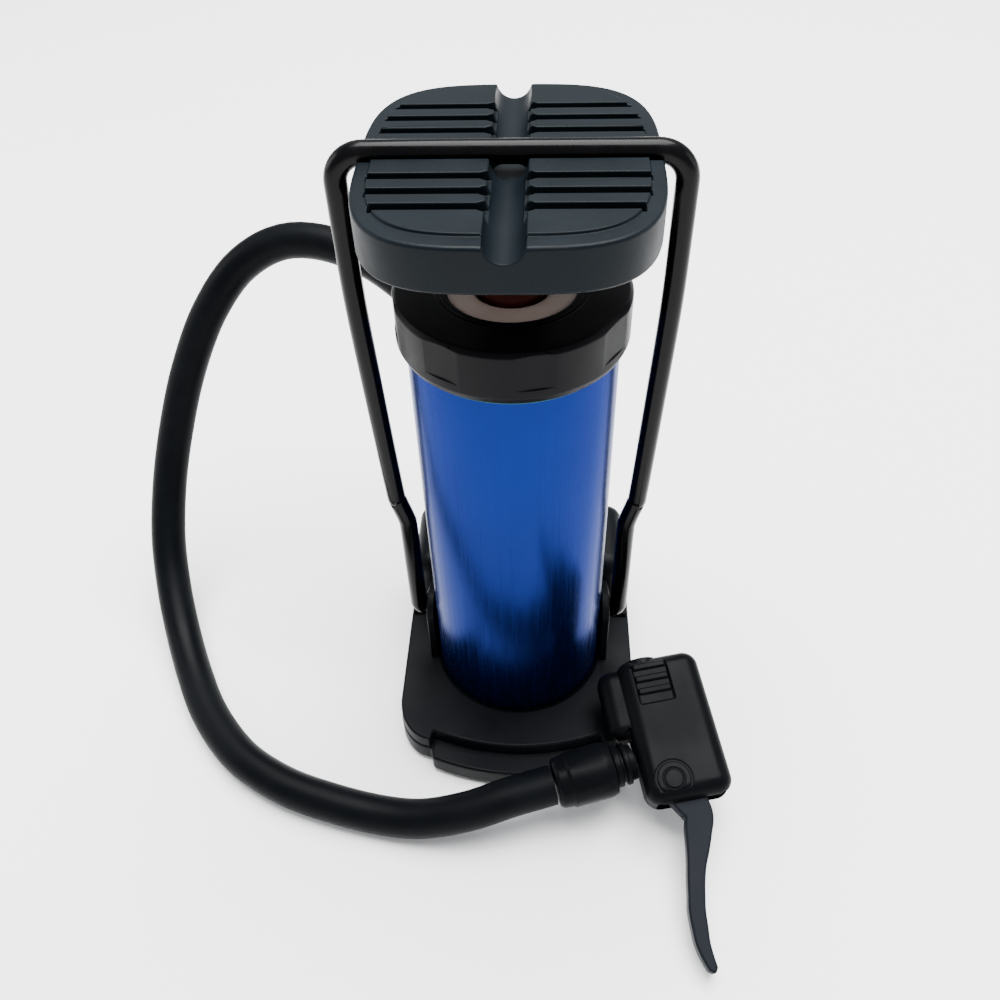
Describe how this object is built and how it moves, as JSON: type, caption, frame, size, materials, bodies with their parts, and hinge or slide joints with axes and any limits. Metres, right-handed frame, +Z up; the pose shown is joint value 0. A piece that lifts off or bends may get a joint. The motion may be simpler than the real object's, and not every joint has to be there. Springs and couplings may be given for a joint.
{
  "type": "foot air pump",
  "caption": "Stowed mini foot pump: single barrel on a low base, ribbed treadle held by a swing-over wire bail, coupled hose and thumb-lock valve head.",
  "frame": {"origin": "on the barrel's axis, at floor level under the base", "axes": "+Z up along the barrel's axis, -Y towards the nose of the base where the valve head lies, +X to the right seen from the nose"},
  "size_m": [0.1776, 0.1738, 0.1713],
  "materials": {
    "black_plastic": "moulded black plastic, fine grain",
    "pedal_plastic": "moulded blue-grey plastic, fine spark-eroded grain",
    "blue_aluminium": "blue anodised, glossy",
    "black_steel": "gloss black coated wire",
    "rod_metal": "polished copper-brown rod",
    "cream_nylon": "natural nylon",
    "bright_steel": "zinc-plated steel",
    "rubber": "black rubber",
    "lever_plastic": "dark grey moulded plastic"
  },
  "bodies": {
    "base": {"barrel": "blue_aluminium", "barrel_seal": "rubber", "base_body": "black_plastic", "base_screw_1": "bright_steel", "base_screw_2": "bright_steel", "base_screw_3": "bright_steel", "base_screw_4": "bright_steel", "bottom_plate": "black_plastic", "check_spring": "bright_steel", "collar": "black_plastic", "foot_pad_1": "rubber", "foot_pad_2": "rubber", "foot_pad_3": "rubber", "foot_pad_4": "rubber", "gland_cap": "black_plastic", "head_body": "black_plastic", "head_ferrule": "black_plastic", "head_neck": "black_plastic", "hose": "rubber", "lever_pin": "black_steel", "outlet_ferrule": "black_plastic", "outlet_nozzle": "bright_steel", "return_spring": "bright_steel", "rod_guide_bush": "cream_nylon", "valve_gland": "rubber"},
    "treadle": {"pedal": "pedal_plastic", "pedal_screw": "bright_steel", "piston_rod": "rod_metal", "piston": "cream_nylon", "piston_seal": "rubber", "piston_washer": "bright_steel", "piston_nut": "bright_steel", "rod_bumper": "rubber"},
    "bail_frame": {"bail": "black_steel"},
    "head_lever": {"lever": "lever_plastic"},
    "head_plunger": {"plunger": "cream_nylon"},
    "check_valve": {"check_ball": "bright_steel"}
  },
  "joints": [
    {"name": "pedal_stroke", "type": "slide", "parent": "base", "child": "treadle", "axis": [0, 0, -1], "range_m": [-0.073, 0], "deforming": ["return_spring"]},
    {"name": "bail_swing", "type": "hinge", "parent": "base", "child": "bail_frame", "pos_m": [0, 0, 0.0295], "axis": [1, 0, 0], "range_deg": [0, 72]},
    {"name": "lever_swing", "type": "hinge", "parent": "base", "child": "head_lever", "pos_m": [0.04204, -0.04869, 0.01603], "axis": [0, -0.2588, 0.9659], "range_deg": [0, 90]},
    {"name": "plunger_slide", "type": "slide", "parent": "base", "child": "head_plunger", "axis": [-0.2079, 0.9448, 0.2532], "range_m": [0, 0.002]},
    {"name": "check_valve_lift", "type": "slide", "parent": "base", "child": "check_valve", "axis": [0, 0, 1], "range_m": [0, 0.002], "stiffness_N_per_m": 30, "deforming": ["check_spring"]}
  ],
  "couplings": [
    {"joint": "bail_swing", "follows": "pedal_stroke", "rad_per_m": -17.21},
    {"joint": "plunger_slide", "follows": "lever_swing", "m_per_rad": 0.00127}
  ]
}
